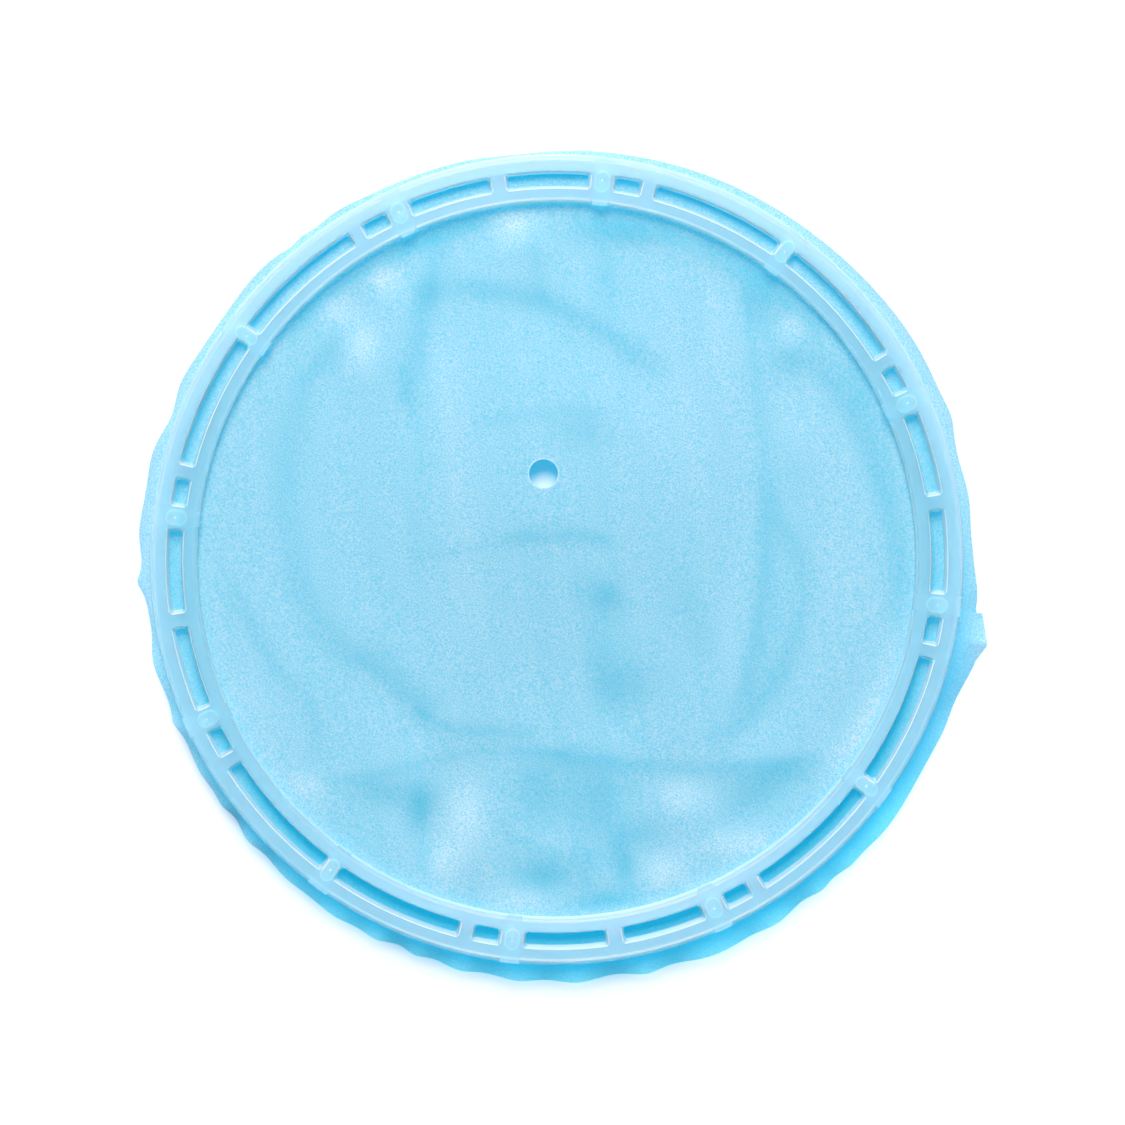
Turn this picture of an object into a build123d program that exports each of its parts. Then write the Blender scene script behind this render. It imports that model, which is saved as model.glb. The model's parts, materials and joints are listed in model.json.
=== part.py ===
"""Framed dental dam: one thin latex sheet held between the two halves of a slotted plastic ring.

Sizes are in millimetres. The origin is the centre of the ring in the middle plane of the sheet,
+Z leaves the front face, and +Y points to the punched hole. The slots and the joining pins of the
ring repeat every quarter turn and mirror about 0 and 45 degrees.
"""
import math
import os

from build123d import *

os.makedirs("parts", exist_ok=True)

# Ring halves
RING_OUTER_RADIUS = 55.0
RING_INNER_RADIUS = 48.5
HALF_THICKNESS = 1.5
OUTER_SHOULDER_RADIUS = 0.85
INNER_SHOULDER_RADIUS = 0.9
QUARTERS = 4

# Slots, from the sheet side to the outer face of a ring half
SLOT_SHEET_RADII = (50.75, 52.35)
SLOT_FACE_RADII = (50.6, 52.75)
SLOT_RIM_CHAMFER = 0.14
SLOT_END_FLARE = 0.3
SLOT_CORNER_RADIUS = 0.45
SLOT_SPANS = ((1.45, 13.4), (17.6, 21.15), (23.85, 43.55))

# Joining pins: (angle in the quarter, radius of the pin's centre, radial length, width)
WIDE_PIN_ANGLE = 15.5
WIDE_PIN = (51.75, 2.7, 1.9)
NARROW_PIN_ANGLE = 45.0
NARROW_PIN = (51.95, 3.1, 1.6)
PIN_CLEARANCE = 0.05
SOCKET_SKIN = 0.35
SOCKET_DEPTH = HALF_THICKNESS - SOCKET_SKIN

# Flat pads that fill the rounded shoulders beside each pin: (width inside, width outside)
WIDE_PAD = (1.9, 2.8)
NARROW_PAD = (2.0, 3.2)

# Moulded dimple over each pin
DIMPLE_RADIUS_ON_RING = 51.9
DIMPLE_BALL_RADIUS = 0.25
DIMPLE_DEPTH = 0.1

# Latex sheet
SHEET_THICKNESS = 0.2
HOLE_RADIUS = 1.95
HOLE_Y = 12.0

# Trimmed edge of the sheet, counter-clockwise from the torn tab:
# (angle in degrees, overhang beyond the ring)
EDGE_AFTER_TAB = (
    (-15.6, 2.15), (-12.5, 2.0), (-10, 1.55), (-7.5, 1.3), (-5, 1.15), (-2, 1.3),
)
EDGE_RIGHT = (
    (0, 1.35), (5, 1.0), (9, 1.35), (11.3, 1.75), (13, 1.65), (20, 1.6), (30, 1.45),
    (40, 1.15), (50, 1.0), (60, 0.9), (70, 0.7), (80, 0.45),
)
EDGE_TOP = (
    (89, 0.25), (92, 0.4), (100, 0.5), (110, 0.7), (115, 0.8), (117.5, 0.6), (119.3, 0.8),
    (121, 0.6), (123, 0.85), (132, 0.95), (142, 1.0), (146.5, 1.15),
)
EDGE_LEFT = (
    (150.3, 0.6), (155, 1.4), (162, 1.3), (168, 1.5), (173, 1.4), (174.1, 1.75), (175.2, 1.3),
    (178.5, 0.6), (181.5, 0.6), (185, 1.25), (192.5, 1.0), (194.3, 1.35), (196, 1.0),
    (202.5, 1.2), (205.5, 1.05), (207.8, 1.25),
)
EDGE_SCALLOPS = (
    (209.7, 0.85), (213.5, 1.6), (216.3, 1.25), (220, 1.65), (225, 1.7), (230, 2.05), (233, 1.85),
    (236, 2.15), (239.3, 1.6), (241.5, 2.15), (243.7, 1.85), (248, 2.45), (251, 2.1), (256, 2.6),
    (259.7, 2.25), (264, 2.7), (269.6, 2.05), (273.5, 2.75), (276.7, 2.35), (281, 2.85),
    (286, 2.85), (288.7, 2.65), (292.5, 2.95), (297.4, 2.3), (299.8, 2.7), (302, 2.4),
)
EDGE_BEFORE_TAB = (
    (305, 2.75), (307, 2.65), (310, 2.8), (317, 2.55), (324, 2.3), (327.5, 2.4), (331, 2.3),
    (334.5, 2.85), (337.5, 3.45),
)
TAB_CORNERS = ((339.8, 4.5), (343.9, 3.1), (343.1, 2.6))

SHEET_FACE = SHEET_THICKNESS / 2
RING_FACE = SHEET_FACE + HALF_THICKNESS


def on_circle(radius, angle):
    """Point at a radius and an angle in degrees."""
    return (radius * math.cos(math.radians(angle)), radius * math.sin(math.radians(angle)))


def slot_outline(radii, first, last, grow=0.0):
    """Sector-shaped outline of one slot, with its corners rounded."""
    inner = radii[0] - grow
    outer = radii[1] + grow
    spread = math.degrees(grow / radii[0])
    start = first - spread
    sweep = last - first + 2 * spread
    with BuildSketch() as outline:
        with BuildLine():
            CenterArc((0, 0), inner, start, sweep)
            CenterArc((0, 0), outer, start, sweep)
            Line(on_circle(inner, start), on_circle(outer, start))
            Line(on_circle(inner, start + sweep), on_circle(outer, start + sweep))
        make_face()
        fillet(outline.vertices(), SLOT_CORNER_RADIUS)
    return outline.sketch


def pin_spots():
    """(angle, pin, pad) of the three pins in each quarter."""
    spots = []
    for quarter in range(QUARTERS):
        base = 90 * quarter
        spots.append((base + WIDE_PIN_ANGLE, WIDE_PIN, WIDE_PAD))
        spots.append((base + NARROW_PIN_ANGLE, NARROW_PIN, NARROW_PAD))
        spots.append((base + 90 - WIDE_PIN_ANGLE, WIDE_PIN, WIDE_PAD))
    return spots


def pin_outlines(clearance=0.0):
    """The twelve oval pin outlines, grown by a clearance."""
    with BuildSketch() as outlines:
        for angle, (radius, length, width), _ in pin_spots():
            with Locations(Location((*on_circle(radius, angle), 0), (0, 0, angle))):
                SlotOverall(length + 2 * clearance, width + 2 * clearance)
    return outlines.sketch


# Cutter for the three slots of an eighth of the ring, and its mirror image
with BuildPart() as slot_cutter:
    for first, last in SLOT_SPANS:
        with BuildSketch(Plane.XY.offset(SHEET_FACE)):
            add(slot_outline(SLOT_SHEET_RADII, first, last))
        with BuildSketch(Plane.XY.offset(RING_FACE - SLOT_RIM_CHAMFER)):
            flare = math.degrees(SLOT_END_FLARE / SLOT_SHEET_RADII[0])
            add(slot_outline(SLOT_FACE_RADII, first - flare, last + flare))
        loft(ruled=True)
        with BuildSketch(Plane.XY.offset(RING_FACE - SLOT_RIM_CHAMFER)):
            add(slot_outline(SLOT_FACE_RADII, first - flare, last + flare))
        with BuildSketch(Plane.XY.offset(RING_FACE)):
            add(slot_outline(SLOT_FACE_RADII, first - flare, last + flare, SLOT_RIM_CHAMFER))
        loft(ruled=True)
    mirror(about=Plane.XZ)

# Ring half as both halves share it, standing on the front face of the sheet
with BuildPart() as ring_half:
    with BuildSketch(Plane.XZ):
        with BuildLine():
            outer_turn = RING_OUTER_RADIUS - OUTER_SHOULDER_RADIUS
            inner_turn = RING_INNER_RADIUS + INNER_SHOULDER_RADIUS
            outer_wall_top = RING_FACE - OUTER_SHOULDER_RADIUS
            inner_wall_top = RING_FACE - INNER_SHOULDER_RADIUS
            Line((RING_INNER_RADIUS, SHEET_FACE), (RING_OUTER_RADIUS, SHEET_FACE))
            Line((RING_OUTER_RADIUS, SHEET_FACE), (RING_OUTER_RADIUS, outer_wall_top))
            CenterArc((outer_turn, outer_wall_top), OUTER_SHOULDER_RADIUS, 0, 90)
            Line((outer_turn, RING_FACE), (inner_turn, RING_FACE))
            CenterArc((inner_turn, inner_wall_top), INNER_SHOULDER_RADIUS, 90, 90)
            Line((RING_INNER_RADIUS, inner_wall_top), (RING_INNER_RADIUS, SHEET_FACE))
        make_face()
    revolve(axis=Axis.Z)
    with BuildSketch(Plane.XY.offset(SHEET_FACE)):
        for angle, _, (inside, outside) in pin_spots():
            with Locations(Location((0, 0, 0), (0, 0, angle))):
                Polygon(
                    (RING_INNER_RADIUS - 1, -inside / 2), (RING_OUTER_RADIUS + 1, -outside / 2),
                    (RING_OUTER_RADIUS + 1, outside / 2), (RING_INNER_RADIUS - 1, inside / 2),
                    align=None,
                )
        Circle(RING_OUTER_RADIUS, mode=Mode.INTERSECT)
        Circle(RING_INNER_RADIUS, mode=Mode.SUBTRACT)
    extrude(amount=HALF_THICKNESS)
    with PolarLocations(0, QUARTERS):
        add(slot_cutter.part, mode=Mode.SUBTRACT)

# Front half: blind sockets for the pins, and a dimple over each
with BuildPart() as front_ring:
    add(ring_half.part)
    with BuildSketch(Plane.XY.offset(SHEET_FACE)):
        add(pin_outlines(PIN_CLEARANCE))
    extrude(amount=SOCKET_DEPTH, mode=Mode.SUBTRACT)
    ball_height = RING_FACE + DIMPLE_BALL_RADIUS - DIMPLE_DEPTH
    for angle, _, _ in pin_spots():
        with Locations((*on_circle(DIMPLE_RADIUS_ON_RING, angle), ball_height)):
            Sphere(DIMPLE_BALL_RADIUS, mode=Mode.SUBTRACT)

# Back half: the same ring turned over, with the pins moulded on it
with BuildPart() as back_ring:
    add(ring_half.part)
    mirror(about=Plane.XY, mode=Mode.REPLACE)
    with BuildSketch(Plane.XY.offset(-SHEET_FACE)):
        add(pin_outlines())
    extrude(amount=SHEET_THICKNESS + SOCKET_DEPTH - PIN_CLEARANCE)

# Latex sheet: trimmed by hand outside the ring, pierced by the pins, with the punched hole
with BuildPart() as dam_sheet:
    with BuildSketch():
        smooth = EDGE_AFTER_TAB + EDGE_RIGHT + EDGE_TOP + EDGE_LEFT + EDGE_SCALLOPS + EDGE_BEFORE_TAB
        edge = [on_circle(RING_OUTER_RADIUS + overhang, angle) for angle, overhang in smooth]
        tab = [on_circle(RING_OUTER_RADIUS + overhang, angle) for angle, overhang in TAB_CORNERS]
        with BuildLine():
            Spline(*edge)
            Polyline(edge[-1], *tab, edge[0])
        make_face()
    extrude(amount=SHEET_FACE, both=True)
    with BuildSketch(Plane.XY.offset(-SHEET_FACE)):
        add(pin_outlines(PIN_CLEARANCE))
        with Locations((0, HOLE_Y)):
            Circle(HOLE_RADIUS)
    extrude(amount=SHEET_THICKNESS, mode=Mode.SUBTRACT)

front_ring.part.label = "front_ring"
back_ring.part.label = "back_ring"
dam_sheet.part.label = "dam_sheet"
export_step(front_ring.part, "parts/front_ring.step")
export_step(back_ring.part, "parts/back_ring.step")
export_step(dam_sheet.part, "parts/dam_sheet.step")
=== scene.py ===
"""Looks of a framed dental dam: two frosted plastic ring halves clamping a powdery latex sheet.

Shapes are worked out in millimetres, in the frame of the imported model, and become metres where
Blender objects are made.
"""

import json
import math

import bmesh
import bpy
import numpy as np
from mathutils import Matrix, Vector


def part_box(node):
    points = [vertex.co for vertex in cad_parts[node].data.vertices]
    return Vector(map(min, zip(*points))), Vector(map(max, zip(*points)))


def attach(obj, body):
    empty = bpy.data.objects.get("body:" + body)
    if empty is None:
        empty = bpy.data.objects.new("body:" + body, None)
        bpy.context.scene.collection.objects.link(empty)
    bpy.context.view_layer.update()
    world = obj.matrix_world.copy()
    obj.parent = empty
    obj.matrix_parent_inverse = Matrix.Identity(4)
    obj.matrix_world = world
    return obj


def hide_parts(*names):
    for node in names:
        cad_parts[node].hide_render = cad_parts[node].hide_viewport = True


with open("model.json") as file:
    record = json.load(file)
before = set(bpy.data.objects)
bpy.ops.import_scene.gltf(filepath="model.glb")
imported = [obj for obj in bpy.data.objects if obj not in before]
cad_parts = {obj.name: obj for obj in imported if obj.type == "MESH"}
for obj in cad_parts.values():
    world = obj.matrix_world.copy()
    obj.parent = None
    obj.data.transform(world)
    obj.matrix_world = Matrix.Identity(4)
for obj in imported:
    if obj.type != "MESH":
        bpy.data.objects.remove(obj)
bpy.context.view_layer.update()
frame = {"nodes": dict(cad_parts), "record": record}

MM = 0.001


def colour(red, green, blue):
    return (red, green, blue, 1.0)


# In a pair named FADE, a thing is gone at the first number and whole at the second. In a pair
# named END, it is whole at the first and gone at the second.

# Ring and sheet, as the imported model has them
ring_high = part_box("front_ring")[1] / MM
sheet_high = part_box("dam_sheet")[1] / MM
RING_OUTER = ring_high.x
RING_INNER = 48.5
RING_FACE = ring_high.z
SHEET_FACE = sheet_high.z
hole_mount = next(m for m in frame["record"]["mounts"] if m["name"] == "tooth_hole")
HOLE_X, HOLE_Y, _ = (value / MM for value in hole_mount["pos_m"])
HOLE_RADIUS = hole_mount["dims"]["r_mm"]
FLOOR = -RING_FACE - 0.02
FLOOR_REACH = 1200.0
FLOOR_END = (400.0, 1000.0)
FLOOR_WHITE = colour(0.93, 0.93, 0.93)
WHITE = colour(1.0, 1.0, 1.0)

# Joining pins under the front face: (angle in the quarter turn, radius, length, width)
PIN_OUTLINES = ((15.5, 51.75, 2.7, 1.9), (45.0, 51.95, 3.1, 1.6))
OUTLINE_FADE = (0.22, 0.04)
OUTLINE_STRENGTH = 0.2
PIN_FADE = (0.35, 0.05)
# Painted glint on the ring over the middle of each pin: its radius, and where it fades
GLINT_RADIUS_ON_RING = 51.9
GLINT_FADE = (0.22, 0.10)

# Flat pads across the ring at the pins: how pale they are, and how they weaken the shoulders' painted
# highlight lines
PAD_FADE = (1.5, 1.0)
PAD_PALENESS = 0.12
WEAKER_EDGE_FADE = (1.5, 1.2)
WEAKER_EDGE = 0.5

# Painted highlight lines where the face turns into a shoulder, strongest at the ring's top and bottom:
# (radius, how much stronger at the top)
SHOULDER_HIGHLIGHTS = ((49.1, 0.12), (54.35, -0.25))
EDGE_FADE = (0.26, 0.06)
EDGE_AT_SIDES = 0.03
EDGE_AT_ENDS = 0.50

# Slots, and the walls and rims round them: a painted highlight on the chamfered rims, and painted
# light on steep faces, most on slot walls that face away from the lamp
SLOT_RADIUS = 51.6
SLOT_WIDTH = 1.6
NEAR_SLOT_FADE = (1.7, 1.5)
IN_SLOT_FADE = (0.9, 0.6)
RIM_HIGHLIGHT = 0.45
RIM_MILKINESS = 0.9
RIM_FADES = ((0.55, 0.65), (0.85, 0.75))
# Painted light on steep faces, most on slot walls that face away from the lamp
STEEP_FADE = (0.85, 0.55)
STEEP_PAINTED_LIGHT = 0.5
SHADED_WALL_FADE = (0.5, -0.2)
WALL_IN_LIGHT = -0.35
WALL_IN_SHADE = 0.45

# Painted light on the ring, inside and outside its slots, paler where the lamp falls on it: at its
# sides, top and bottom
INNER_PAINTED_LIGHT = (0.03, 0.46, 0.64)
OUTER_PAINTED_LIGHT = (0.22, 0.40, 0.36)

# Plastic: how much of it is clear, and its colours
CLEAR_SHARE = 0.6
THROUGH_SHARE = 0.2
PLASTIC_BLUES = (colour(0.43, 0.54, 0.57), colour(0.51, 0.60, 0.63))
# Palest colour, which the painted light round the ring mixes in
PLASTIC_PALEST = colour(1.0, 0.88, 0.90)
# Pale colour of the pins' outlines and pads, and of the painted glints and highlights
LINE_PALE = colour(0.90, 0.93, 0.95)
# Colour of the painted light on steep faces
WALL_BLUE = colour(0.36, 0.78, 0.96)
GLASS_TINT = colour(0.86, 0.96, 0.99)
THROUGH_TINT = colour(0.97, 0.92, 0.88)
LIGHT_PAST_FACE = colour(0.14, 0.64, 0.74)
LIGHT_PAST_RIM = colour(0.86, 0.87, 0.92)
OUTER_WALL_FADE = (RING_OUTER - 0.9, RING_OUTER - 0.3)
BURIED_FADE = (RING_FACE - 0.1, RING_FACE - 0.2)
CLOUD_SCALE = 0.12
GRAIN_SCALE = 2.5

# How the milky plastic's normals are evened towards the front of the ring
EVENED_STRETCH = (1.0, 1.0, 4.0)
EVENED_LIFT = (0.0, 0.0, 0.9)

# Latex: its colours bare and under powder and painted light, and the light that comes through it;
# painted light makes that brighter and a larger share at the shaded low edge, and dimmer at the lit
# edge
BARE_LATEX = colour(0.0, 0.545, 0.72)
POWDER_AND_LIGHT_WHITE = colour(1.0, 0.99, 0.95)
GLOW_INSIDE = colour(0.03, 0.62, 0.90)
GLOW_LIT_EDGE = colour(0.03, 0.36, 0.86)
GLOW_LOW_EDGE = colour(0.22, 0.90, 1.0)
LIGHT_PAST_SHEET = colour(0.0, 0.42, 0.51)
LIGHT_PAST_EDGE = colour(0.95, 0.93, 0.98)
OUTSIDE_FADE = (RING_OUTER - 0.6, RING_OUTER + 0.4)
LOW_EDGE_FADE = (-0.25, -0.75)
LIT_EDGE_FADE = (-0.3, 0.3)
THIN_SHARE = 0.25
TRANSLUCENT_ADDED_IN_SHADE = 0.35

# Powder: its speckles and clouds. Painted shade on the sheet in the slots, and a painted highlight
# round the hole's edge
SPECKLE_TURN = 31.0
SPECKLE_SCALE = 4.4
SPECKLE_STRENGTH = 2.4
MOTTLE_SCALE = 0.35
MOTTLE_STRENGTH = 0.10
WALL_SHADE_FADE = (0.15, 1.0)
WALL_SHADE_STRENGTH = 0.85
LOW_SLOT_FADE = (-0.1, -0.8)
LOW_SLOT_SHADE = 0.7
HOLE_LIP_FADE = (HOLE_RADIUS + 0.3, HOLE_RADIUS + 0.05)
HOLE_LIP_HIGHLIGHT = 0.25

# Camera, turned with the ring: degrees of lean towards the top and right of the view, and of roll
CAMERA_DISTANCE = 2000.0
CAMERA_LEAN_UP = 5.80
CAMERA_LEAN_RIGHT = -1.55
CAMERA_ROLL = 8.754
CAMERA_OFFSET = (0.770, -0.324)
VIEW_WIDTH = 152.0
SENSOR = 36.0

# Light
KEY_DISTANCE = 2500.0
KEY_SIZE = 1600.0
KEY_AZIMUTH = 86.0
KEY_ELEVATION = 42.0
KEY_WATTS = 104.0
FILL_STRENGTH = 0.16

# Sheet mesh: its rows and columns, and how they are spread
COLUMNS = 720
INSIDE_ROWS = 52
CLAMPED_ROWS = 4
FLANGE_ROWS = 7
CROWDING_OUTWARD = 0.25
EVEN_SHARE = 0.02
SHARP_BEND = 25.0
SHARP_FOLD = 50.0
WELD = 0.0000001
FACING_FRONT = 0.9

# Sheet's thickness, its slack, and its rise round the hole
CLAMP_GAP = 0.01
HALF_SHEET = SHEET_FACE - CLAMP_GAP
LOWEST_EDGE = FLOOR + 0.05 + HALF_SHEET
HOLE_RISE = 1.2
HOLE_RISE_REACH = 22.0
SLACK_WINDOW = 5.0
SLACK = 0.12

# Relief of the sheet: its strength, and grid steps over which it is smoothed and kept from drifting
RELIEF_STRENGTH = 0.0035
RELIEF_END = (42.0, 48.0)
SMOOTHING = 5
DRIFT = 41

# Ruffled edge: where it is in the shade of the ring, and how it curves down in light and in shade
EDGE_IN_SHADE_FADE = (-0.1, 0.55)
EDGE_LIFT = -0.15
DROP_IN_LIGHT = 0.15
DROP_ADDED_IN_SHADE = 0.4
DROP_CURVE = 1.4

# Painted light and shade outside the ring: the tone in the light, and in the shade the painted shadow
# of the ring at it, how it lightens out from it, and painted light on the peaks
LIT_EDGE_TONE = 12
TONE_AT_RING = -52
TONE_OUTWARD = 65
TONE_ON_PEAKS = 60
PEAK_RANGE = (-0.3, 0.5)
TONE_END = (47.5, 48.5)

# Tone of the latex, partly powder and partly painted light and shade of its soft folds: levels from 0
# to 255 of its displayed red, which rises with both
MEAN_TONE = 160.0
GAMMA = 2.2
STROKE_END_FADE = (-0.02, 0.15)
GRID_REACH = 60.0
GRID_STEP = 0.5

# Pale and dark streaks down the sheet, partly powder and partly painted shade of its soft folds: how
# they lean, (wave length, phase, level) of each kind, and (strength, length in wave lengths, phases)
# of each way they wander
STREAK_LEAN = 0.02
STREAKS = ((9.7, 0.4, 1.4), (5.3, 1.9, 1.2), (2.9, 0.7, 1.2), (1.7, 2.6, 1.2), (1.1, 5.1, 1.0))
WANDERS = ((0.5, 5.3, 1), (0.3, 2.1, 2))

# Soft pale and dark marks on the sheet, partly powder and partly painted light and shade of its soft
# folds: (level, width to the left, width to the right, points along it)
STROKES = (
    (-22, 1.3, 1.7, ((-12, 39.5), (-5, 38.2), (0, 36.6), (4, 34.8), (9, 31.5), (14, 27), (20, 21.5))),
    (-24, 0.8, 0.9, ((-8, 3.9), (-4, 4), (0, 3.6), (4, 2.8), (9, 1.0))),
    (-9, 0.7, 0.7, ((-19, 3.6), (-13, 3.4), (-7, 3.8))),
    (-9, 0.6, 1.2, ((-9, 20.6), (-3, 20.4), (4, 20.2), (11, 18.6))),
    (-13, 1.9, 2.2, (
        (-27, 37), (-31, 27), (-34.0, 18), (-35.2, 10), (-34.4, 1), (-31.4, -6), (-26, -12),
    )),
    (-20, 2.6, 0.7, ((-30, -7.5), (-26, -12), (-22.8, -16), (-19.8, -19.3))),
    (-22, 0.8, 0.7, ((-22.8, -16), (-19.8, -19.6), (-15, -21.2), (-10, -22), (-5, -22.8))),
    (-12, 1.2, 0.8, ((-45, 7), (-43, -1), (-40, -8), (-37.0, -13), (-36, -18), (-38, -24))),
    (-20, 0.5, 0.7, ((-38, -24), (-30, -25), (-21, -24.2), (-14, -24.2), (-7, -25.2), (0, -27))),
    (-22, 0.5, 1.6, ((-7, -25.2), (0, -27), (8, -29.2), (16, -30.8), (24, -31.5), (33, -31.6))),
    (-15, 2.2, 0.4, ((30.4, 35), (30.3, 28), (29.8, 20), (29.2, 10), (28.6, 2))),
    (-20, 2.4, 0.7, ((29.2, 8), (28.4, 1), (27, -6), (25.2, -13), (22.8, -19.5), (19, -26))),
    (-17, 1.2, 1.4, (
        (29.5, 4), (32, -3), (32.2, -9), (30.4, -15.5), (26, -22), (21, -26.2), (15, -27.6),
    )),
    (-20, 2.8, 1.4, ((37, 24), (41, 17), (43.6, 9), (45.2, 0), (45.4, -8), (44.2, -17))),
    (-9, 0.8, 1.4, ((-17.5, 32), (-16.4, 25), (-16, 17), (-17.5, 9), (-18.5, -2))),
    (-12, 0.8, 1.4, ((3.2, 46), (3.6, 42), (3.6, 38), (4.2, 34))),
    (-18, 1.6, 1.6, ((-9, 47), (-10, 43), (-12, 38), (-14, 32), (-16, 27), (-17, 22))),
    (10, 2.4, 2.4, ((-10.5, 34), (-11, 24), (-12, 12), (-13, 0), (-13.5, -14))),
    (-12, 2.4, 2.2, ((2.5, 0), (4.4, -9), (4.6, -14), (4.4, -24))),
    # Painted shadow of the ring along the top of its inner edge
    (-32, 1.6, 1.6, ((41, 23), (36.5, 29.5), (31, 35), (24.5, 40), (16, 43.6), (7, 46.4))),
    (-40, 1.2, 1.2, ((0, 47.4), (-6, 46.6), (-13, 45), (-18, 43.6), (-26, 39.8), (-33, 34.2))),
    (12, 1.6, 1.6, ((44.6, -16), (41.6, -22), (36.8, -28.6), (29.6, -35.6))),
    (-12, 0.6, 0.6, ((-15, -33), (-10, -37.5), (-4, -40.5), (2, -41))),
)

# Soft pale and dark patches on the sheet, partly powder and partly painted light and shade of its soft
# folds: (x, y, half width, half height, turn in degrees, level)
PATCHES = (
    (-11.5, 38.4, 1.7, 2.0, 0, -22),
    (1.6, 46.2, 2.8, 2.4, 0, 34),
    (-17, 41.6, 2.4, 2.0, -30, 32),
    (-24, 38.4, 2.4, 2.2, 0, 30),
    (-21.3, 33.0, 2.0, 3.2, -15, 30),
    (24, 41, 1.6, 1.2, -30, 22),
    (36.6, 26.6, 1.8, 1.8, 0, 30),
    (35.6, 22, 2.6, 1.8, 0, -22),
    (32.0, 31, 2.0, 4.0, 10, -20),
    (14, 42.4, 6.0, 1.5, -12, -26),
    (12.4, 36.4, 2.0, 3.8, 0, -16),
    (6.0, -5.9, 1.9, 2.1, 0, -30),
    (7.2, -18, 3.6, 3.4, 0, -16),
    (3.6, -16, 1.8, 5.0, 0, -12),
    (16.4, -9, 2.2, 7.0, 8, -9),
    (6.5, 16.8, 4.0, 2.4, -15, -12),
    (-26.8, 32, 1.4, 3.2, -30, -20),
    (19, 17, 7, 12, 0, 9),
    (26.4, 27, 2.2, 10, 0, 10),
    (23, -9, 1.6, 12, -14, 7),
    (34.5, 14, 3, 5, 10, 12),
    (37.5, -6, 4, 16, -6, 8),
    (-43.5, -14, 3, 9, 12, 9),
    (-27.5, -27.6, 5.0, 2.0, -12, -24),
    (-23.4, -30.4, 1.7, 3.2, -16, -40),
    (-24.2, -37.5, 1.4, 3.0, -12, -16),
    (-17.4, -32, 2.8, 4.4, -4, 30),
    (-21.0, -38.0, 2.8, 3.6, -25, 28),
    (-38.5, -25.0, 2.6, 1.6, -35, 26),
    (-7.2, -30.5, 3.4, 4.8, 0, -26),
    (0.8, -33, 4.2, 5.6, 0, -28),
    (12, -34.2, 3.8, 2.6, -14, 24),
    (13, -38.6, 2.4, 1.6, 0, -6),
    (18.6, -42, 5.0, 1.8, -8, 32),
    (22, -35.6, 4.0, 2.6, 10, -26),
    (26, -33.4, 5.0, 1.6, -4, -20),
    (37.5, -30.0, 7.0, 1.8, 51, 26),
    (4.6, -38.4, 3.4, 1.6, 0, -22),
    (-8, -42.0, 3.6, 2.2, -10, -42),
    (2.6, -42.4, 1.6, 3.0, 0, -38),
    (-2.6, -42.6, 1.2, 3.2, 0, -12),
    (-0.5, -46.8, 4.4, 1.2, 0, -44),
    (8.2, -44.2, 2.8, 2.4, 20, 34),
    (-12, -45, 3.6, 1.4, -14, 30),
    (-33, -33, 5.0, 3.0, -42, -6),
    (-30, -38.5, 3.4, 1.0, -38, -14),
    (44.5, 16, 1.8, 5.0, 14, -12),
)


# --- Camera, light and floor -------------------------------------------------------------------

def turned(vector, degrees):
    """A vector turned about Z."""
    return Matrix.Rotation(math.radians(degrees), 3, "Z") @ Vector(vector)


def make_camera():
    lean_up = math.radians(CAMERA_LEAN_UP)
    lean_right = math.radians(CAMERA_LEAN_RIGHT)
    back = Vector((
        math.sin(lean_right),
        math.sin(lean_up) * math.cos(lean_right),
        math.cos(lean_up) * math.cos(lean_right),
    ))
    right = Vector((0, 1, 0)).cross(back).normalized()
    up = back.cross(right)
    place = back * CAMERA_DISTANCE + right * CAMERA_OFFSET[0] + up * CAMERA_OFFSET[1]
    axes = Matrix([turned(axis, -CAMERA_ROLL) for axis in (right, up, back)]).transposed()
    data = bpy.data.cameras.new("camera")
    data.sensor_width = SENSOR
    data.lens = SENSOR * CAMERA_DISTANCE / VIEW_WIDTH
    data.clip_start = 0.01
    data.clip_end = 100.0
    camera = bpy.data.objects.new("camera", data)
    camera.matrix_world = Matrix.Translation(turned(place, -CAMERA_ROLL) * MM) @ axes.to_4x4()
    bpy.context.scene.collection.objects.link(camera)
    bpy.context.scene.camera = camera


def make_light():
    azimuth = math.radians(KEY_AZIMUTH)
    elevation = math.radians(KEY_ELEVATION)
    towards = Vector((
        math.cos(azimuth) * math.cos(elevation),
        math.sin(azimuth) * math.cos(elevation),
        math.sin(elevation),
    ))
    data = bpy.data.lights.new("key_light", "AREA")
    data.shape = "DISK"
    data.size = KEY_SIZE * MM
    data.energy = KEY_WATTS
    key = bpy.data.objects.new("key_light", data)
    key.location = towards * KEY_DISTANCE * MM
    key.rotation_euler = towards.to_track_quat("Z", "Y").to_euler()
    bpy.context.scene.collection.objects.link(key)


def make_world():
    """Even fill light behind a white backdrop that only the camera sees."""
    world = bpy.data.worlds.new("studio")
    world.use_nodes = True
    tree = world.node_tree
    fill = tree.nodes["Background"]
    fill.inputs["Color"].default_value = WHITE
    fill.inputs["Strength"].default_value = FILL_STRENGTH
    backdrop = tree.nodes.new("ShaderNodeBackground")
    backdrop.inputs["Color"].default_value = WHITE
    seen = tree.nodes.new("ShaderNodeLightPath")
    both = tree.nodes.new("ShaderNodeMixShader")
    tree.links.new(seen.outputs["Is Camera Ray"], both.inputs[0])
    tree.links.new(fill.outputs[0], both.inputs[1])
    tree.links.new(backdrop.outputs[0], both.inputs[2])
    tree.links.new(both.outputs[0], tree.nodes["World Output"].inputs["Surface"])
    bpy.context.scene.world = world


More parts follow.
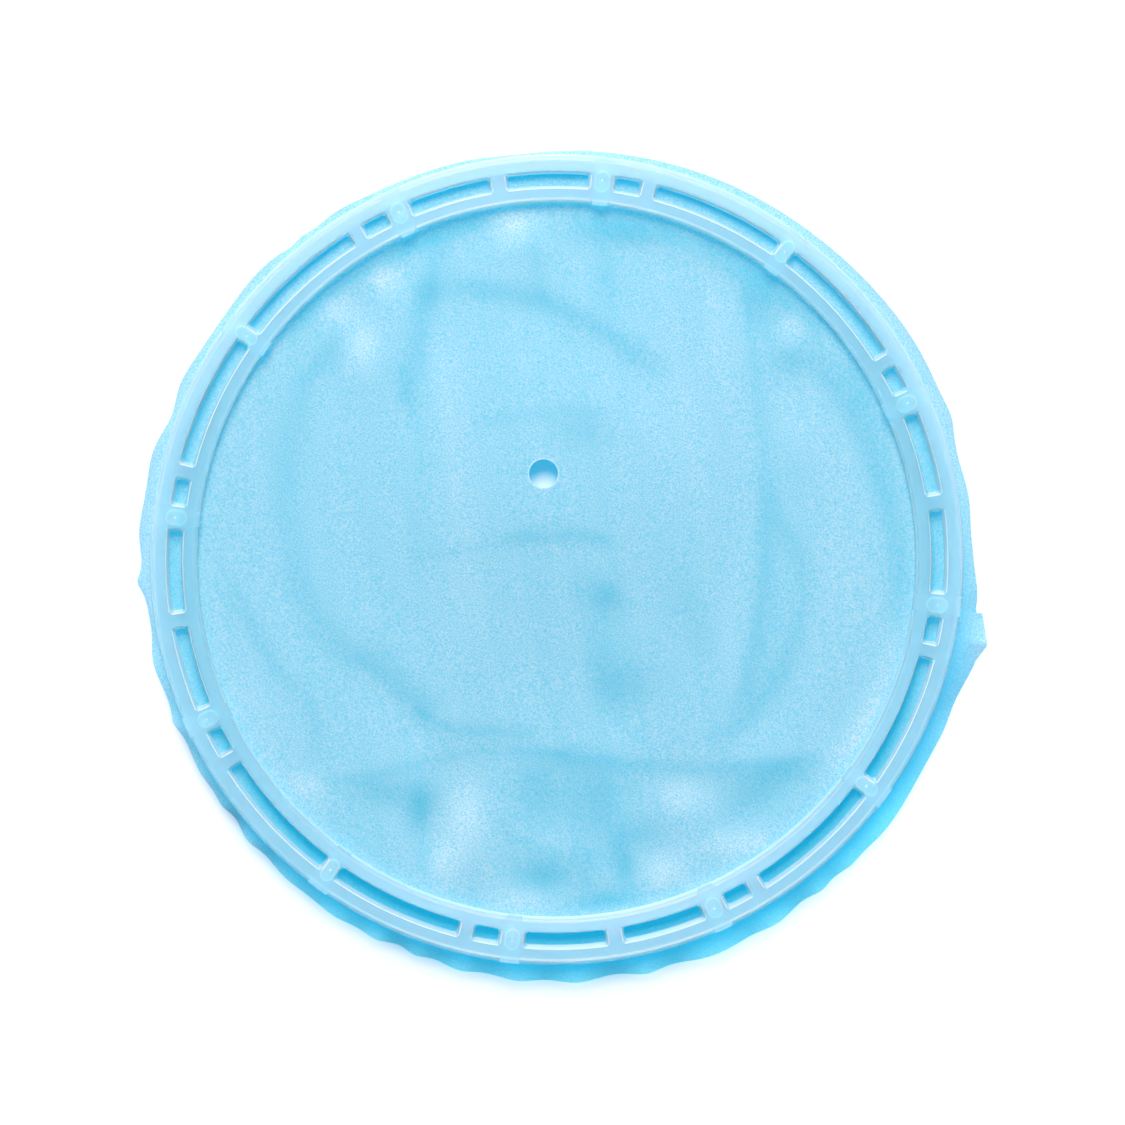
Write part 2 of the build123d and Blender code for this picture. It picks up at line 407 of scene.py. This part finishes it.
def make_floor():
    """White floor that fades into the backdrop far from the object."""
    mesh = bpy.data.meshes.new("floor")
    corners = [(-1, -1), (1, -1), (1, 1), (-1, 1)]
    reach = FLOOR_REACH * MM
    mesh.from_pydata([(x * reach, y * reach, FLOOR * MM) for x, y in corners], [], [(0, 1, 2, 3)])
    floor = bpy.data.objects.new("floor", mesh)
    bpy.context.scene.collection.objects.link(floor)
    s = Shading("floor_white")
    surface = s.node("ShaderNodeBsdfDiffuse", {"Color": FLOOR_WHITE})
    clear = s.node("ShaderNodeBsdfTransparent")
    away = s.node("ShaderNodeVectorMath", operation="LENGTH")
    s.feed(away.inputs[0], s.position())
    fade = s.ramp(away.outputs["Value"], *FLOOR_END)
    s.output(s.mix_shader(fade, surface.outputs[0], clear.outputs[0]))
    mesh.materials.append(s.material)


# --- Materials ---------------------------------------------------------------------------------

class Shading:
    """Short calls that build one material's node tree. A value may be a number, colour or socket."""

    def __init__(self, name):
        self.material = bpy.data.materials.new(name)
        self.material.use_nodes = True
        self.tree = self.material.node_tree
        self.tree.nodes.clear()

    def feed(self, socket, value):
        if isinstance(value, bpy.types.NodeSocket):
            self.tree.links.new(value, socket)
        else:
            socket.default_value = value

    def node(self, kind, inputs=None, **settings):
        node = self.tree.nodes.new(kind)
        for name, value in settings.items():
            setattr(node, name, value)
        for name, value in (inputs or {}).items():
            self.feed(node.inputs[name], value)
        return node

    def math(self, operation, *values):
        node = self.node("ShaderNodeMath", operation=operation)
        for socket, value in zip(node.inputs, values):
            self.feed(socket, value)
        return node.outputs[0]

    def product(self, *values):
        total = values[0]
        for value in values[1:]:
            total = self.math("MULTIPLY", total, value)
        return total

    def largest(self, *values):
        most = values[0]
        for value in values[1:]:
            most = self.math("MAXIMUM", most, value)
        return most

    def off(self, value, centre):
        """How far a value is from a centre."""
        return self.math("ABSOLUTE", self.math("SUBTRACT", value, centre))

    def hypotenuse(self, first, second):
        squares = [self.product(side, side) for side in (first, second)]
        return self.math("SQRT", self.math("ADD", *squares))

    def split(self, vector):
        return self.node("ShaderNodeSeparateXYZ", {"Vector": vector}).outputs

    def ramp(self, value, low, high):
        """0 where the value is at low, 1 where it is at high, and smooth between."""
        inputs = {"Value": value, "From Min": low, "From Max": high}
        node = self.node("ShaderNodeMapRange", inputs, interpolation_type="SMOOTHSTEP")
        return node.outputs[0]

    def mix_number(self, share, first, second):
        node = self.node("ShaderNodeMix", data_type="FLOAT")
        self.feed(node.inputs[0], share)
        self.feed(node.inputs[2], first)
        self.feed(node.inputs[3], second)
        return node.outputs[0]

    def mix_colour(self, share, first, second):
        node = self.node("ShaderNodeMix", data_type="RGBA")
        self.feed(node.inputs[0], share)
        self.feed(node.inputs[6], first)
        self.feed(node.inputs[7], second)
        return node.outputs[2]

    def mix_shader(self, share, first, second):
        node = self.node("ShaderNodeMixShader")
        for socket, value in zip(node.inputs, (share, first, second)):
            self.feed(socket, value)
        return node.outputs[0]

    def position(self):
        """Place on the object in millimetres, as a vector socket."""
        node = self.node("ShaderNodeVectorMath", operation="SCALE")
        self.feed(node.inputs[0], self.node("ShaderNodeTexCoord").outputs["Object"])
        node.inputs["Scale"].default_value = 1 / MM
        return node.outputs[0]

    def noise(self, place, scale, detail):
        inputs = {"Vector": place, "Scale": scale, "Detail": detail}
        return self.node("ShaderNodeTexNoise", inputs).outputs["Fac"]

    def output(self, surface):
        node = self.node("ShaderNodeOutputMaterial")
        self.feed(node.inputs["Surface"], surface)

    def output_with_shadow(self, surface, light_colour):
        """The surface, with the light that passes it coloured."""
        see = self.node("ShaderNodeBsdfTransparent", {"Color": light_colour})
        lit = self.node("ShaderNodeLightPath").outputs["Is Shadow Ray"]
        self.output(self.mix_shader(lit, surface, see.outputs[0]))


def around_ring(s, facing, sides, top, bottom):
    """A value that runs from the sides of the ring to its top and bottom."""
    even = s.product(facing, facing, (top + bottom) / 2 - sides)
    odd = s.product(facing, (top - bottom) / 2)
    return s.math("ADD", s.math("ADD", even, odd), sides)


def plastic_tint(s, place, radius, facing):
    """Cloudy blue, with painted light that makes it paler towards the top and bottom of the ring."""
    cloud = s.noise(place, CLOUD_SCALE, detail=3.0)
    outward = s.ramp(radius, SLOT_RADIUS - SLOT_WIDTH / 2, SLOT_RADIUS + SLOT_WIDTH / 2)
    inner = around_ring(s, facing, *INNER_PAINTED_LIGHT)
    outer = around_ring(s, facing, *OUTER_PAINTED_LIGHT)
    painted_light = s.mix_number(outward, inner, outer)
    return s.mix_colour(painted_light, s.mix_colour(cloud, *PLASTIC_BLUES), PLASTIC_PALEST)


def pin_marks(s, radius, angle, tint):
    """The tint with the pins' outlines, pads and painted glints in it, and where pads, pins and lines
    are.
    """
    in_eighth = s.math("PINGPONG", angle, 45.0)
    pads = 0.0
    pins = 0.0
    lines = 0.0
    for pin_angle, pin_radius, length, width in PIN_OUTLINES:
        along = s.off(radius, pin_radius)
        turn = s.math("RADIANS", s.math("SUBTRACT", in_eighth, pin_angle))
        across = s.product(turn, radius)
        aside = s.math("ABSOLUTE", across)
        past_end = s.largest(s.math("SUBTRACT", along, (length - width) / 2), 0.0)
        from_spine = s.hypotenuse(past_end, across)
        outline = s.product(s.ramp(s.off(from_spine, width / 2), *OUTLINE_FADE), OUTLINE_STRENGTH)
        from_glint = s.hypotenuse(s.math("SUBTRACT", radius, GLINT_RADIUS_ON_RING), across)
        glint = s.ramp(from_glint, *GLINT_FADE)
        pad = s.product(s.ramp(aside, *PAD_FADE), PAD_PALENESS)
        tint = s.mix_colour(s.largest(outline, pad, glint), tint, LINE_PALE)
        pads = s.largest(pads, s.ramp(aside, *WEAKER_EDGE_FADE))
        pins = s.largest(pins, s.ramp(from_spine, *(width / 2 + past for past in PIN_FADE)))
        lines = s.largest(lines, outline, glint)
    return tint, pads, pins, lines


def shoulder_highlights(s, radius, facing, pads):
    """Strength of the painted highlight lines at the shoulders, most at the ring's top and bottom."""
    strongest = 0.0
    near_ends = s.math("POWER", s.math("ABSOLUTE", facing), 4.0)
    for edge, lean in SHOULDER_HIGHLIGHTS:
        strength = s.math("MULTIPLY_ADD", s.product(near_ends, facing), lean, EDGE_AT_SIDES)
        strength = s.math("MULTIPLY_ADD", near_ends, EDGE_AT_ENDS, strength)
        on_edge = s.ramp(s.off(radius, edge), *EDGE_FADE)
        strongest = s.largest(strongest, s.product(on_edge, strength))
    return s.product(strongest, s.math("MULTIPLY_ADD", pads, -WEAKER_EDGE, 1.0))


def slopes(s, radius):
    """Where the slots' chamfered rims are, and how steep the surface is, which makes it milkier and
    paints light on it, most on slot walls that face away from the lamp.
    """
    slope = s.split(s.node("ShaderNodeNewGeometry").outputs["True Normal"])
    upright = s.math("ABSOLUTE", slope[2])
    in_shade = s.ramp(slope[1], *SHADED_WALL_FADE)
    near_slot = s.ramp(s.off(radius, SLOT_RADIUS), *NEAR_SLOT_FADE)
    chamfer = s.product(*(s.ramp(upright, *side) for side in RIM_FADES))
    wall_light = s.product(near_slot, s.math("MULTIPLY_ADD", in_shade, WALL_IN_SHADE, WALL_IN_LIGHT))
    steep = s.product(s.ramp(upright, *STEEP_FADE), s.math("ADD", wall_light, STEEP_PAINTED_LIGHT))
    return s.product(chamfer, near_slot), steep


def plastic_surface(s, place, tint, lines):
    """Milky plastic mixed with clear, which is least along the lines."""
    grain = s.noise(place, GRAIN_SCALE, detail=3.0)
    bump = s.node("ShaderNodeBump", {"Strength": 0.08, "Distance": 0.02 * MM, "Height": grain})
    raised = s.node("ShaderNodeVectorMath", operation="MULTIPLY_ADD")
    s.feed(raised.inputs[0], bump.outputs[0])
    s.feed(raised.inputs[1], EVENED_STRETCH)
    s.feed(raised.inputs[2], EVENED_LIFT)
    evened = s.node("ShaderNodeVectorMath", operation="NORMALIZE")
    s.feed(evened.inputs[0], raised.outputs[0])
    body = s.node("ShaderNodeBsdfPrincipled", {
        "Base Color": tint,
        "Roughness": 0.3,
        "IOR": 1.49,
        "Subsurface Weight": 0.8,
        "Subsurface Radius": (0.5, 0.9, 1.0),
        "Subsurface Scale": 2.5 * MM,
        "Normal": evened.outputs[0],
    })
    glass = s.node("ShaderNodeBsdfGlass", {
        "Color": GLASS_TINT,
        "Roughness": 0.22,
        "IOR": 1.22,
        "Normal": bump.outputs[0],
    })
    through = s.node("ShaderNodeBsdfTranslucent", {"Color": THROUGH_TINT})
    milky = s.mix_shader(THROUGH_SHARE, body.outputs[0], through.outputs[0])
    clear_share = s.math("MULTIPLY_ADD", lines, -CLEAR_SHARE, CLEAR_SHARE)
    return s.mix_shader(clear_share, milky, glass.outputs[0])


def ring_plastic():
    """Frosted pale blue plastic. The back half's pins show through it as pale oval outlines."""
    s = Shading("frosted_plastic")
    place = s.position()
    x, y, z = s.split(place)
    radius = s.hypotenuse(x, y)
    facing = s.math("DIVIDE", y, radius)
    angle = s.math("DEGREES", s.math("ARCTAN2", y, x))

    # Painted light round the ring
    tint = plastic_tint(s, place, radius, facing)
    # Pins' outlines and pads, and a painted glint over each pin
    tint, pads, pins, lines = pin_marks(s, radius, angle, tint)
    # Painted highlight lines along the shoulders
    edge_highlights = shoulder_highlights(s, radius, facing, pads)
    tint = s.mix_colour(edge_highlights, tint, LINE_PALE)
    rim, steep = slopes(s, radius)
    # Painted highlight on the slots' chamfered rims
    tint = s.mix_colour(s.product(rim, RIM_HIGHLIGHT), tint, LINE_PALE)
    # Painted light on steep faces, most on slot walls that face away from the lamp
    tint = s.mix_colour(steep, tint, WALL_BLUE)
    lines = s.largest(lines, edge_highlights, s.product(rim, RIM_MILKINESS), steep)

    outer_wall = s.ramp(radius, *OUTER_WALL_FADE)
    buried = s.ramp(s.math("ABSOLUTE", z), *BURIED_FADE)
    light = s.mix_colour(outer_wall, LIGHT_PAST_FACE, LIGHT_PAST_RIM)
    light = s.mix_colour(s.product(pins, buried), light, WHITE)
    s.output_with_shadow(plastic_surface(s, place, tint, lines), light)
    return s.material


def painted_shade_in_slots(s, radius, facing):
    """Factor of painted shade on the sheet in the slots: darker beside the wall that shades them, and
    low down on the ring.
    """
    across = s.math("MULTIPLY_ADD", radius, 1 / SLOT_WIDTH, 0.5 - SLOT_RADIUS / SLOT_WIDTH)
    under_wall = s.math("MULTIPLY_ADD", s.math("SUBTRACT", across, 0.5), facing, 0.5)
    wall_shade = s.math("MULTIPLY_ADD", s.ramp(under_wall, *WALL_SHADE_FADE), -WALL_SHADE_STRENGTH, 1.0)
    low_down = s.math("MULTIPLY_ADD", s.ramp(facing, *LOW_SLOT_FADE), -LOW_SLOT_SHADE, 1.0)
    in_slot = s.ramp(s.off(across, 0.5), *IN_SLOT_FADE)
    darkening = s.math("SUBTRACT", s.product(wall_shade, low_down), 1.0)
    return s.math("MULTIPLY_ADD", darkening, in_slot, 1.0)


def speckled_powder_and_light(s, place, speckle):
    """The mesh's powder_and_painted_light attribute with speckles and faint clouds in it."""
    powder_and_painted_light = s.node("ShaderNodeAttribute", attribute_name="powder_and_painted_light").outputs["Fac"]
    mottle = s.noise(place, MOTTLE_SCALE, detail=1.0)
    speckled = s.math("MULTIPLY_ADD", s.math("SUBTRACT", speckle, 0.5), SPECKLE_STRENGTH, 1.0)
    mottled = s.math("MULTIPLY_ADD", s.math("SUBTRACT", mottle, 0.5), MOTTLE_STRENGTH, 1.0)
    return s.product(powder_and_painted_light, speckled, mottled)


def hole_lip(s, x, y):
    """1 at the edge of the punched hole and 0 away from it."""
    from_hole = s.node("ShaderNodeVectorMath", operation="DISTANCE")
    s.feed(from_hole.inputs[0], s.node("ShaderNodeCombineXYZ", {"X": x, "Y": y}).outputs[0])
    s.feed(from_hole.inputs[1], (HOLE_X, HOLE_Y, 0.0))
    return s.ramp(from_hole.outputs["Value"], *HOLE_LIP_FADE)


def powdered_latex():
    """Thin cyan latex, paler where the mesh's powder_and_painted_light attribute is higher, which
    stands partly for powdery dusting and partly for painted light and shade.
    """
    s = Shading("powdered_latex")
    place = s.position()
    x, y, _ = s.split(place)
    radius = s.hypotenuse(x, y)
    facing = s.math("DIVIDE", y, radius)

    angle = math.radians(SPECKLE_TURN)
    turned_place = s.node("ShaderNodeVectorRotate", {"Vector": place, "Angle": angle}).outputs[0]
    speckle = s.noise(turned_place, SPECKLE_SCALE, detail=2.0)
    powder_and_painted_light = speckled_powder_and_light(s, place, speckle)
    # Painted shade in the slots
    powder_and_painted_light = s.product(powder_and_painted_light, painted_shade_in_slots(s, radius, facing))
    # Painted highlight round the edge of the punched hole
    powder_and_painted_light = s.math("MULTIPLY_ADD", hole_lip(s, x, y), HOLE_LIP_HIGHLIGHT, powder_and_painted_light)
    bump = s.node("ShaderNodeBump", {"Strength": 0.2, "Distance": 0.03 * MM, "Height": speckle})
    body = s.node("ShaderNodeBsdfPrincipled", {
        "Base Color": s.mix_colour(powder_and_painted_light, BARE_LATEX, POWDER_AND_LIGHT_WHITE),
        "Roughness": 0.62,
        "IOR": 1.52,
        "Specular IOR Level": 0.3,
        "Normal": bump.outputs[0],
    })

    # Painted light: the light through the latex is brighter and a larger share at the shaded low edge,
    # and dimmer at the lit edge
    outside = s.ramp(radius, *OUTSIDE_FADE)
    low = s.product(outside, s.ramp(facing, *LOW_EDGE_FADE))
    high = s.product(outside, s.ramp(facing, *LIT_EDGE_FADE))
    glow = s.mix_colour(low, s.mix_colour(high, GLOW_INSIDE, GLOW_LIT_EDGE), GLOW_LOW_EDGE)
    through = s.node("ShaderNodeBsdfTranslucent", {"Color": glow})
    thin = s.math("MULTIPLY_ADD", low, TRANSLUCENT_ADDED_IN_SHADE, THIN_SHARE)
    surface = s.mix_shader(thin, body.outputs[0], through.outputs[0])
    s.output_with_shadow(surface, s.mix_colour(outside, LIGHT_PAST_SHEET, LIGHT_PAST_EDGE))
    return s.material


# --- Tone and relief of the sheet --------------------------------------------------------------

def smooth_line(points, per_span=12):
    """Catmull-Rom line through points."""
    points = np.array(points, float)
    padded = np.vstack([2 * points[0] - points[1], points, 2 * points[-1] - points[-2]])
    t = np.linspace(0, 1, per_span, endpoint=False)[:, None]
    line = []
    for a, b, c, d in zip(padded, padded[1:], padded[2:], padded[3:]):
        square = (2 * a - 5 * b + 4 * c - d) * t**2
        cube = (3 * b - a - 3 * c + d) * t**3
        line.append(0.5 * (2 * b + (c - a) * t + square + cube))
    return np.vstack([*line, points[-1:]])


def smoothstep(values, low, high):
    t = np.clip((values - low) / (high - low), 0, 1)
    return t * t * (3 - 2 * t)


def stroke(x, y, level, left, right, points):
    """Level along a line that fades out sideways and towards both ends."""
    line = smooth_line(points)
    ahead = np.gradient(line, axis=0)
    nearest = np.full(x.shape, np.inf)
    side = np.zeros(x.shape)
    along = np.zeros(x.shape)
    for place, ((px, py), (dx, dy)) in enumerate(zip(line, ahead)):
        distance = np.hypot(x - px, y - py)
        nearer = distance < nearest
        nearest = np.where(nearer, distance, nearest)
        side = np.where(nearer, dx * (y - py) - dy * (x - px), side)
        along = np.where(nearer, place / (len(line) - 1), along)
    width = np.where(side > 0, left, right)
    ends = smoothstep(along, *STROKE_END_FADE) * smoothstep(1 - along, *STROKE_END_FADE)
    return level * ends * np.exp(-((nearest / width) ** 2))


def patch(x, y, centre_x, centre_y, half_width, half_height, turn, level):
    """Level round a centre that fades out as a turned oval."""
    turn = math.radians(turn)
    u = (x - centre_x) * math.cos(turn) + (y - centre_y) * math.sin(turn)
    v = (y - centre_y) * math.cos(turn) - (x - centre_x) * math.sin(turn)
    return level * np.exp(-((u / half_width) ** 2) - (v / half_height) ** 2)


def streaks(x, y):
    """Faint pale and dark streaks down the sheet, partly powdery dusting and partly painted shade of
    its soft folds.
    """
    lean = x + STREAK_LEAN * y
    total = np.zeros(x.shape)
    for length, phase, level in STREAKS:
        wander = 0.0
        for strength, lengths, phases in WANDERS:
            wander += strength * np.sin(y / (lengths * length) + phases * phase)
        total += level * np.sin(2 * math.pi * (lean / length) + phase + wander)
    return total


def tone_field(x, y):
    """Display level of the powder_and_painted_light attribute at points of the sheet, less the mean.
    """
    tone = streaks(x, y)
    for level, left, right, points in STROKES:
        tone += stroke(x, y, level, left, right, points)
    for centre_x, centre_y, half_width, half_height, turn, level in PATCHES:
        tone += patch(x, y, centre_x, centre_y, half_width, half_height, turn, level)
    return tone


def sampled(grid, x, y):
    """Values of a square grid between its points."""
    last = len(grid) - 1.001
    u = np.clip((x + GRID_REACH) / GRID_STEP, 0, last)
    v = np.clip((y + GRID_REACH) / GRID_STEP, 0, last)
    i = u.astype(int)
    j = v.astype(int)
    fu = u - i
    fv = v - j
    near = grid[j, i] * (1 - fu) + grid[j, i + 1] * fu
    far = grid[j + 1, i] * (1 - fu) + grid[j + 1, i + 1] * fu
    return near * (1 - fv) + far * fv


def box_blur(values, width):
    """Running mean along the first axis."""
    kernel = np.ones(width) / width
    return np.apply_along_axis(lambda line: np.convolve(line, kernel, "same"), 0, values)


def relief_field(tone):
    """Height whose slopes face the light where the tone is pale, without any long drift."""
    relief = -np.cumsum(box_blur(tone, SMOOTHING), axis=0) * GRID_STEP
    relief -= box_blur(relief, DRIFT)
    return box_blur(box_blur(relief, SMOOTHING).T, SMOOTHING).T


# --- Sheet mesh --------------------------------------------------------------------------------

def outline_of(node):
    """Outer edge of the flat CAD sheet's front face, counter-clockwise from its right, in mm."""
    mesh = bmesh.new()
    mesh.from_mesh(node.data)
    bmesh.ops.remove_doubles(mesh, verts=mesh.verts, dist=WELD)
    steps = {}
    for face in mesh.faces:
        if face.normal.z < FACING_FRONT:
            continue
        for loop in face.loops:
            others = [other for other in loop.edge.link_faces if other != face]
            if any(other.normal.z > FACING_FRONT for other in others):
                continue
            steps[loop.vert.index] = loop.link_loop_next.vert.index
    mesh.verts.ensure_lookup_table()
    start = max(steps, key=lambda index: mesh.verts[index].co.x)
    order = [start]
    while steps[order[-1]] != start:
        order.append(steps[order[-1]])
    points = np.array([mesh.verts[index].co.xy for index in order]) / MM
    mesh.free()
    return points


def outline_columns(points, angles):
    """The outline's point for each column, in order along it, with its sharp corners kept."""
    closed = np.vstack([points, points[:1]])
    lengths = np.hypot(*np.diff(closed, axis=0).T)
    run = np.concatenate([[0], np.cumsum(lengths)])
    turn = np.unwrap(np.arctan2(closed[:, 1], closed[:, 0]))
    turn = np.maximum.accumulate(turn)
    whole = 2 * math.pi
    evenly = whole * run / run[-1]
    turn = turn[0] + (turn - turn[0]) * (1 - EVEN_SHARE) + EVEN_SHARE * evenly
    first = turn[0]
    wanted = first + np.mod(angles - first, whole)
    order = np.argsort(wanted)
    place = np.interp(wanted[order], turn, run)
    heading = np.arctan2(*np.diff(closed, axis=0).T[::-1])
    bend = np.abs((np.roll(heading, 1) - heading + math.pi) % whole - math.pi)
    for corner in run[:-1][bend > math.radians(SHARP_BEND)]:
        place[np.argmin(np.abs(place - corner))] = corner
    edge = np.stack([np.interp(place, run, closed[:, axis]) for axis in (0, 1)], axis=1)
    back = np.empty_like(edge)
    back[order] = edge
    return back


def running_max(values, reach):
    return np.max([np.roll(values, shift) for shift in range(-reach, reach + 1)], axis=0)


def running_mean(values, reach):
    return np.mean([np.roll(values, shift) for shift in range(-reach, reach + 1)], axis=0)


def flat_rows(around, edge):
    """Rows of points on the flat sheet, from its hole out to its trimmed edge, in mm."""
    rows = []
    for step in np.linspace(0, 1, INSIDE_ROWS + 1):
        t = step * (1 + CROWDING_OUTWARD - CROWDING_OUTWARD * step)
        centre = np.array([HOLE_X, HOLE_Y]) * (1 - t)
        rows.append(centre + around * (HOLE_RADIUS + (RING_INNER - HOLE_RADIUS) * t))
    for radius in np.linspace(RING_INNER, RING_OUTER, CLAMPED_ROWS + 1)[1:]:
        rows.append(around * radius)
    ring_edge = around * RING_OUTER
    for share in np.linspace(0, 1, FLANGE_ROWS + 1)[1:]:
        rows.append(ring_edge + (edge - ring_edge) * share)
    return np.array(rows)


def edge_heights(overhang, window, shaded):
    """Height of the edge in mm: where it reaches out less than its neighbours, it curves down more."""
    length = running_mean(running_max(overhang, window), window) + SLACK
    drop = np.sqrt(np.maximum(length**2 - overhang**2, 0))
    heights = EDGE_LIFT + LOWEST_EDGE * (1 - np.exp(drop / LOWEST_EDGE))
    return heights * (DROP_IN_LIGHT + DROP_ADDED_IN_SHADE * shaded)


def edge_tones(overhang, window, shaded, share):
    """Tone of the sheet outside the ring, at shares of the way out to the edge: painted shadow of the
    ring beside it on the shaded side, lighter outward and on the peaks, and painted light on the lit
    side.
    """
    peak = np.clip(overhang - running_mean(overhang, window), *PEAK_RANGE)
    in_shade = TONE_AT_RING + TONE_OUTWARD * share + TONE_ON_PEAKS * share * peak
    return in_shade * shaded + LIT_EDGE_TONE * (1 - shaded)


def sheet_faces(count):
    """Faces of the closed sheet, whose back points follow its count of front points."""
    index = np.arange(count).reshape(-1, COLUMNS)
    near = index[:-1]
    far = index[1:]
    top = np.stack([near, far, np.roll(far, -1, 1), np.roll(near, -1, 1)], axis=-1).reshape(-1, 4)
    bottom = top[:, ::-1] + count
    hole = index[0]
    hole_next = np.roll(hole, -1)
    hole_wall = np.stack([hole, hole_next, hole_next + count, hole + count], axis=-1)
    rim = index[-1]
    rim_next = np.roll(rim, -1)
    rim_wall = np.stack([rim, rim + count, rim_next + count, rim_next], axis=-1)
    return np.vstack([top, bottom, hole_wall, rim_wall])


def make_sheet():
    """Closed thin sheet: slack and faintly wavy inside the ring, flat in it, ruffled outside it."""
    angles = np.linspace(0, 2 * math.pi, COLUMNS, endpoint=False)
    around = np.stack([np.cos(angles), np.sin(angles)], axis=1)
    edge = outline_columns(outline_of(frame["nodes"]["dam_sheet"]), angles)
    flat = flat_rows(around, edge)
    x = flat[..., 0]
    y = flat[..., 1]
    radius = np.hypot(x, y)

    axis = np.arange(-GRID_REACH, GRID_REACH + GRID_STEP, GRID_STEP)
    tone_grid = tone_field(*np.meshgrid(axis, axis))
    tone = sampled(tone_grid, x, y) * (1 - smoothstep(radius, *TONE_END))
    relief = sampled(relief_field(tone_grid), x, y)
    from_hole = np.hypot(x - HOLE_X, y - HOLE_Y)
    rise = HOLE_RISE * np.exp(-((from_hole / HOLE_RISE_REACH) ** 2))
    z = (1 - smoothstep(radius, *RELIEF_END)) * (RELIEF_STRENGTH * relief + rise)

    overhang = np.hypot(*edge.T) - RING_OUTER
    window = int(SLACK_WINDOW / 360 * COLUMNS)
    shaded = smoothstep(-around[:, 1], *EDGE_IN_SHADE_FADE)
    share = np.linspace(0, 1, FLANGE_ROWS + 1)[:, None]
    z[-FLANGE_ROWS - 1:] = edge_heights(overhang, window, shaded) * share**DROP_CURVE
    # Painted light and shade on the sheet outside the ring
    tone[-FLANGE_ROWS - 1:] = edge_tones(overhang, window, shaded, share)
    powder_and_painted_light = ((MEAN_TONE + tone) / 255) ** GAMMA

    front = np.dstack([flat, z + HALF_SHEET]).reshape(-1, 3)
    back = np.dstack([flat, z - HALF_SHEET]).reshape(-1, 3)
    vertices = np.vstack([front, back]) * MM
    mesh = bpy.data.meshes.new("latex_sheet")
    mesh.from_pydata(vertices.tolist(), [], sheet_faces(len(front)).tolist())
    mesh.update()
    mesh.shade_smooth()
    mesh.set_sharp_from_angle(angle=math.radians(SHARP_FOLD))
    attribute = mesh.attributes.new("powder_and_painted_light", "FLOAT", "POINT")
    attribute.data.foreach_set("value", np.tile(powder_and_painted_light.ravel(), 2).astype(np.float32))
    sheet = bpy.data.objects.new("latex_sheet", mesh)
    bpy.context.scene.collection.objects.link(sheet)
    return sheet


# --- Making ------------------------------------------------------------------------------------

make_camera()
make_light()
make_world()
make_floor()

plastic = ring_plastic()
for name in ("front_ring", "back_ring", "dam_sheet"):
    materials = frame["nodes"][name].data.materials
    materials.clear()
    materials.append(plastic)

sheet = make_sheet()
sheet.data.materials.append(powdered_latex())
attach(sheet, "root")
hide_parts("dam_sheet")

bpy.context.scene.view_settings.view_transform = "Standard"
